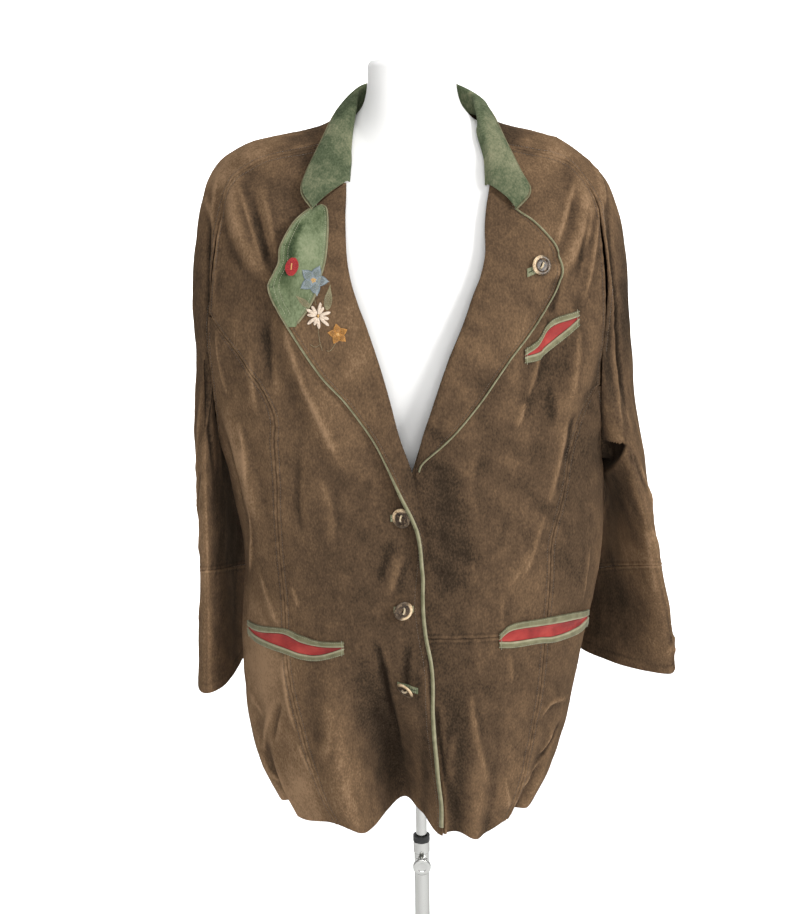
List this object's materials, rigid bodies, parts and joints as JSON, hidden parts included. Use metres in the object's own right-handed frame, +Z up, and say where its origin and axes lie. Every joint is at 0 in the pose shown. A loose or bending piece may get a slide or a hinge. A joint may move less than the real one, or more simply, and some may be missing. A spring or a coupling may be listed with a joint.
{
  "type": "trachten suede jacket on limbless dress form",
  "caption": "Long brown suede jacket in folk style with green collar and trim, worn on a white limbless dress form on a height-adjustable post with a round base.",
  "frame": {"origin": "on the floor, at the middle of the round base, under the post", "axes": "+Z up along the post, -Y the way the jacket's front faces, +X the wearer's left"},
  "size_m": [0.595, 0.36, 1.498],
  "materials": {
    "brown_suede": "napped suede, matt, uneven in tone",
    "green_suede": "napped suede, matt",
    "pale_green_piping": "matt",
    "red_lining": "matt",
    "horn": "polished horn",
    "cream_cord": "matt",
    "white_form_cover": "smooth stretched cover, matt",
    "chrome": "polished",
    "black_rubber": "matt"
  },
  "bodies": {
    "stand": {"base_plate": "chrome", "outer_tube": "chrome", "clamp_collar": "chrome", "black_ring": "black_rubber", "clamp_boss": "chrome"},
    "post": {"height_rod": "chrome"},
    "form": {"right_front": "brown_suede", "right_side_front": "brown_suede", "left_lower_front": "brown_suede", "left_upper_front": "brown_suede", "left_side_front": "brown_suede", "left_back": "brown_suede", "right_back": "brown_suede", "right_sleeve": "brown_suede", "left_sleeve": "brown_suede", "right_cuff": "brown_suede", "left_cuff": "brown_suede", "right_lapel": "brown_suede", "left_lapel": "brown_suede", "leaf_patch": "green_suede", "right_hip_upper_welt": "green_suede", "right_hip_lower_welt": "green_suede", "right_hip_lining": "red_lining", "left_hip_upper_welt": "green_suede", "left_hip_lower_welt": "green_suede", "left_hip_lining": "red_lining", "breast_upper_welt": "green_suede", "breast_lower_welt": "green_suede", "breast_lining": "red_lining", "collar": "green_suede", "collar_piping": "pale_green_piping", "right_edge_piping": "pale_green_piping", "left_lapel_piping": "pale_green_piping", "lapel_buttonhole": "green_suede", "upper_buttonhole": "green_suede", "middle_buttonhole": "green_suede", "lower_buttonhole": "green_suede", "lapel_button": "horn", "lapel_cord": "cream_cord", "upper_button": "horn", "upper_cord": "cream_cord", "middle_button": "horn", "middle_cord": "cream_cord", "lower_button": "horn", "lower_cord": "cream_cord", "cuff_vent_piping": "pale_green_piping", "torso_form": "white_form_cover"},
    "knob": {"clamp_knob": "chrome"}
  },
  "joints": [
    {"name": "height_slide", "type": "slide", "parent": "stand", "child": "post", "axis": [0, 0, 1], "range_m": [-0.1, 0.15]},
    {"name": "form_swivel", "type": "hinge", "parent": "post", "child": "form", "pos_m": [0, 0, 0.665], "axis": [0, 0, 1], "continuous": true},
    {"name": "clamp_knob_turn", "type": "hinge", "parent": "stand", "child": "knob", "pos_m": [0, -0.02, 0.488], "axis": [0, -1, 0], "continuous": true}
  ]
}
